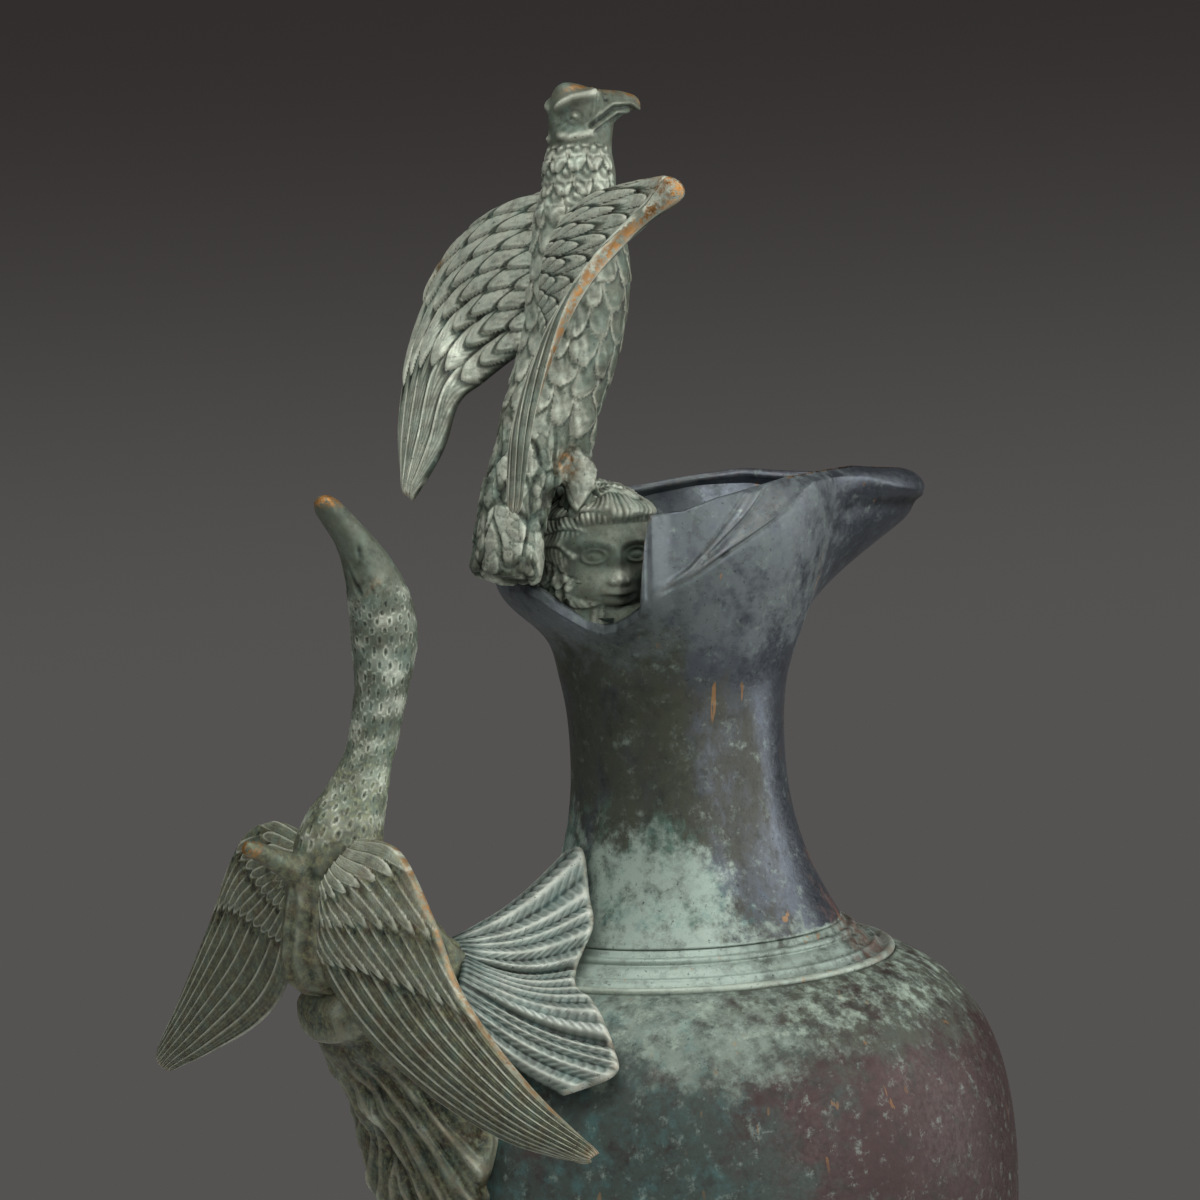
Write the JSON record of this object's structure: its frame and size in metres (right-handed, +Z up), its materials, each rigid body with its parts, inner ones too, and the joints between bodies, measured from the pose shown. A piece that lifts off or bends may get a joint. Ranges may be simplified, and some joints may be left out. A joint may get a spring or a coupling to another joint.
{
  "type": "bronze ewer",
  "caption": "Ovoid bronze ewer with a folded pouring mouth, an eagle standing on a youth's head at the back of the rim and a swan with drooping wings on the shoulder.",
  "frame": {"origin": "centre of the underside of the foot, on the ewer's axis", "axes": "+Z up, +X towards the pouring spout, the birds on the -X side"},
  "size_m": [0.2453, 0.2147, 0.4849],
  "materials": {
    "bronze_belly": "patinated, maroon brown with green patches",
    "bronze_neck": "patinated, slate grey",
    "bronze_figures": "patinated, sage green with worn copper edges",
    "bronze_pale": "patinated, pale mint verdigris",
    "bronze_dark": "patinated, dark green brown"
  },
  "bodies": {
    "root": {"foot_ring": "bronze_dark", "base_disc": "bronze_dark", "body_shell": "bronze_belly", "collar_ring": "bronze_neck", "neck_and_mouth": "bronze_neck", "rim_saddle": "bronze_dark", "youth_head": "bronze_figures", "eagle_tang": "bronze_dark", "eagle_body": "bronze_figures", "eagle_wing_near": "bronze_figures", "eagle_wing_far": "bronze_figures", "swan_body": "bronze_figures", "swan_neck_and_head": "bronze_figures", "swan_wing_near": "bronze_figures", "swan_wing_far": "bronze_figures", "swan_tail_fan": "bronze_pale", "swan_attachment": "bronze_figures"}
  },
  "joints": []
}
